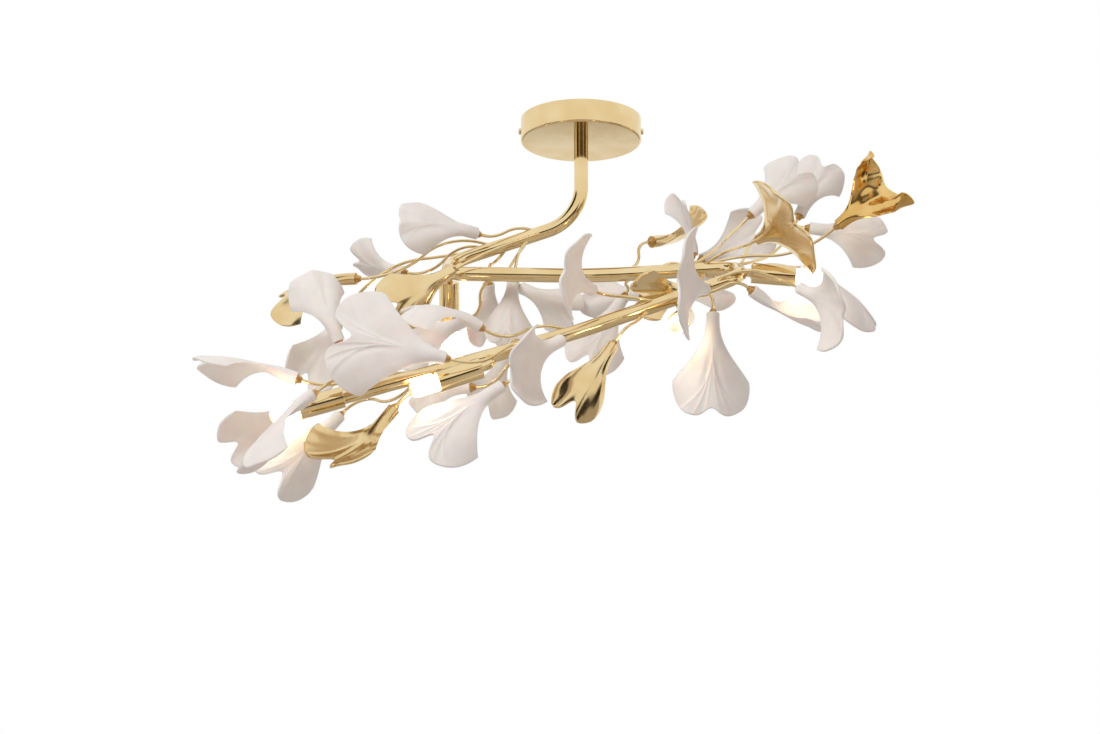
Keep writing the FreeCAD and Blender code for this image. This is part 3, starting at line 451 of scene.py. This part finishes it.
def makeLeaf(number, kind, notch, cup, curl, veinStrength):
    form = leafForm
    length, width = form["sizes"][kind]
    halfThick = form["thick"] / 2
    rows = round(length / form["cell"][0])
    columns = round(width / form["cell"][1])
    crowdRows, crowdColumns = form["crowding"]
    bm = bmesh.new()
    bmesh.ops.create_grid(bm, x_segments=rows, y_segments=2 * columns, size=1)  # rolled into a flat tube
    for vert in bm.verts:
        share = 1 - ((1 - vert.co.x) / 2) ** crowdRows
        face = 1 if vert.co.y > 0 else -1
        across = 1 - 2 * abs(vert.co.y)
        side = math.copysign(1 - (1 - abs(across)) ** crowdColumns, across)
        place, normal, half = bladePoint(share, side, kind, notch, cup, curl)
        place += normal * lipRise(number, kind, share, side, half)
        blade = smoothStep((share - form["roundFrom"]) / (form["roundUntil"] - form["roundFrom"]))
        edge = min((1 - share) * length, (1 - abs(side)) * half) / halfThick
        rounding = math.sqrt(max(0, 1 - max(0, 1 - edge) ** 2))
        neck = form["neck"] * math.sqrt(max(0, 1 - side * side))
        thick = neck * (1 - blade) + halfThick * rounding * blade
        if face < 0:
            thick += veinStrength * veinRise(share, side, half) * blade * min(1, edge / form["veinFade"])
        vert.co = (place + normal * face * thick) * mm
    bmesh.ops.remove_doubles(bm, verts=bm.verts, dist=sameSpot)
    bmesh.ops.holes_fill(bm, edges=[edge for edge in bm.edges if edge.is_boundary], sides=0)
    bmesh.ops.recalc_face_normals(bm, faces=bm.faces)
    return bm


def leafFrame(run, station, offset, heading, lean, roll):
    # heading is the way the leaf points as the viewer sees it, lean is towards the viewer, in degrees
    heading, lean, roll = (math.radians(angle) for angle in (heading, lean, roll))
    ahead = Vector((math.cos(lean) * math.cos(heading), -math.sin(lean), math.cos(lean) * math.sin(heading)))
    facing = Vector((-math.sin(lean) * math.cos(heading), -math.cos(lean),
                     -math.sin(lean) * math.sin(heading)))
    facing = facing * math.cos(roll) + facing.cross(ahead) * math.sin(roll)
    neck = onRun(run, station)[0] + Vector(offset)
    turn = Matrix((ahead, facing.cross(ahead), facing)).transposed()
    return Matrix.Translation(neck * mm) @ turn.to_4x4(), neck, ahead


# a turned conical nut locks each leaf on its stem; radii and lengths in millimetres

leafNut = {"bore": 1.55, "small": 2.6, "large": 4.6, "length": 5, "collar": 1.2, "edge": 0.3, "step": 0.6,
           "steps": 24}


def makeNut():
    bore, small, large = leafNut["bore"], leafNut["small"], leafNut["large"]
    length, edge = leafNut["length"], leafNut["edge"]
    shoulder = length - leafNut["collar"]
    profile = [(bore, 0), (small - edge, 0), (small, edge), (large - leafNut["step"], shoulder),
               (large, shoulder + edge), (large, length), (bore, length), (bore, 0)]
    return turned(profile, leafNut["steps"])


def veinStrengthOf(name):
    if name.startswith("gold"):
        return 0
    return 1 if name in leafForm["boldVeins"] else leafForm["faint"]


leafMeshes = {}
nuts = bmesh.new()
for number, row in enumerate(leafRows):
    name, run, station, offset, heading, lean, roll, kind, notch, cup, curl = row
    place, neck, ahead = leafFrame(run, station, offset, heading, lean, roll)
    leaf = makeLeaf(number, kind, notch, cup, curl, veinStrengthOf(name))
    leaf.transform(place)
    joinInto(leafMeshes.setdefault(name, bmesh.new()), leaf)
    nut = makeNut()
    nut.transform(standOn(neck - ahead * leafNut["length"], ahead))
    joinInto(nuts, nut)
for name, bm in leafMeshes.items():
    gold = name.startswith("gold")
    label = "Leaf" + name.replace("_", " ").title().replace(" ", "")
    finish = giltGlaze if gold else bisque
    # the flower takes the gilt whose deeper, warmer colour is painted light from its folds
    if name == leafForm["flower"]:
        finish = giltPaintedFoldLight
    makePiece("dressed" + label, bm, [finish], "fixture", name,
              leafForm["sharpAngle"])
makePiece("leafNuts", nuts, [brownedBrass], "fixture", "leaf_nuts")
print("leaves made:", len(leafMeshes))

# studio: pale floor, white surroundings, two soft lamps, dark flags for the metal to mirror; in metres

studio = {
    "floorHeight": -1.5, "floorHalf": 4.0, "floorColour": "F2F0EE", "floorRoughness": 0.7,
    "ambient": 0.38, "shade": "FFF3EA",  # strength and colour of the surroundings' light on matt surfaces
    "lamps": [((-1.2, -2.0, 1.5), 1.2, 44), ((1.9, -1.6, -0.5), 1.6, 3)],  # place, size, watts
    "flags": [((0.3, -3.4, -0.85), (2.0, 0.5), "5A4A2E"), ((-2.2, -1.4, -1.1), (0.8, 0.5), "17110B"),
              ((2.3, -0.9, -1.0), (0.7, 0.5), "17110B"), ((-1.85, -0.68, 1.35), (0.8, 0.45), "2A2214")],
    # each flag: place, half width and height, colour
    "flagRoughness": 0.9,
    "aim": Vector((0, -0.05, -0.2)),
}


def makeStudioPlane(name, halfWidth, halfHeight, colour, roughness):
    bm = bmesh.new()
    bmesh.ops.create_grid(bm, x_segments=1, y_segments=1, size=1)
    bmesh.ops.scale(bm, vec=(halfWidth, halfHeight, 1), verts=bm.verts)
    mesh = bpy.data.meshes.new(name)
    bm.to_mesh(mesh)
    bm.free()
    material, tree, _ = startMaterial(name)
    shader = addNode(tree, "ShaderNodeBsdfPrincipled", Base_Color=hexColour(colour), Roughness=roughness)
    finishMaterial(tree, shader)
    mesh.materials.append(material)
    item = bpy.data.objects.new(name, mesh)
    bpy.context.scene.collection.objects.link(item)
    return item


floor = makeStudioPlane("studioFloor", studio["floorHalf"], studio["floorHalf"], studio["floorColour"],
                        studio["floorRoughness"])
floor.location.z = studio["floorHeight"]
for number, (place, half, colour) in enumerate(studio["flags"], start=1):
    flag = makeStudioPlane(f"studioFlag{number}", *half, colour, studio["flagRoughness"])
    flag.location = place
    flag.rotation_euler = (studio["aim"] - Vector(place)).to_track_quat("Z", "Y").to_euler()
    flag.visible_camera = False
    flag.visible_diffuse = False
    flag.visible_shadow = False
for number, (place, size, watts) in enumerate(studio["lamps"], start=1):
    light = bpy.data.lights.new(f"softLamp{number}", "AREA")
    light.size = size
    light.energy = watts
    lamp = bpy.data.objects.new(f"softLamp{number}", light)
    lamp.location = place
    lamp.rotation_euler = (studio["aim"] - Vector(place)).to_track_quat("-Z", "Y").to_euler()
    lamp.visible_glossy = False
    bpy.context.scene.collection.objects.link(lamp)

# the surroundings are white to the camera, metal and glass, and dimmer and warm to matt surfaces

world = bpy.data.worlds.new("whiteStudio")
bpy.context.scene.world = world
world.use_nodes = True
sky = world.node_tree
sky.nodes.clear()
ray = addNode(sky, "ShaderNodeLightPath")
seen = addNode(sky, "ShaderNodeMath", {"operation": "MAXIMUM"}, _0=ray.outputs["Is Camera Ray"],
               _1=ray.outputs["Is Glossy Ray"])
seen = addNode(sky, "ShaderNodeMath", {"operation": "MAXIMUM"}, _0=seen.outputs[0],
               _1=ray.outputs["Is Transmission Ray"])
level = addNode(sky, "ShaderNodeMath", {"operation": "MULTIPLY_ADD"}, _0=seen.outputs[0],
                _1=1 - studio["ambient"], _2=studio["ambient"])
tint = addNode(sky, "ShaderNodeValToRGB", ramp=((0.0, studio["shade"]), (1.0, "FFFFFF")),
               Fac=seen.outputs[0])
white = addNode(sky, "ShaderNodeBackground", Color=tint.outputs["Color"], Strength=level.outputs[0])
addNode(sky, "ShaderNodeOutputWorld", Surface=white.outputs[0])

# camera at the photograph's place: below the light, looking up at it

photoCamera = {"place": (-0.0308, -2.4826, -0.9194), "pitch": 15, "lens": 86.73, "sensor": 36, "clipEnd": 50}
view = bpy.data.cameras.new("photoCamera")
view.lens = photoCamera["lens"]
view.sensor_width = photoCamera["sensor"]
view.clip_end = photoCamera["clipEnd"]
camera = bpy.data.objects.new("photoCamera", view)
camera.location = photoCamera["place"]
camera.rotation_euler = (math.radians(90 + photoCamera["pitch"]), 0, 0)
bpy.context.scene.collection.objects.link(camera)
bpy.context.scene.camera = camera
bpy.context.scene.view_settings.view_transform = "Standard"
print("studio and camera set")
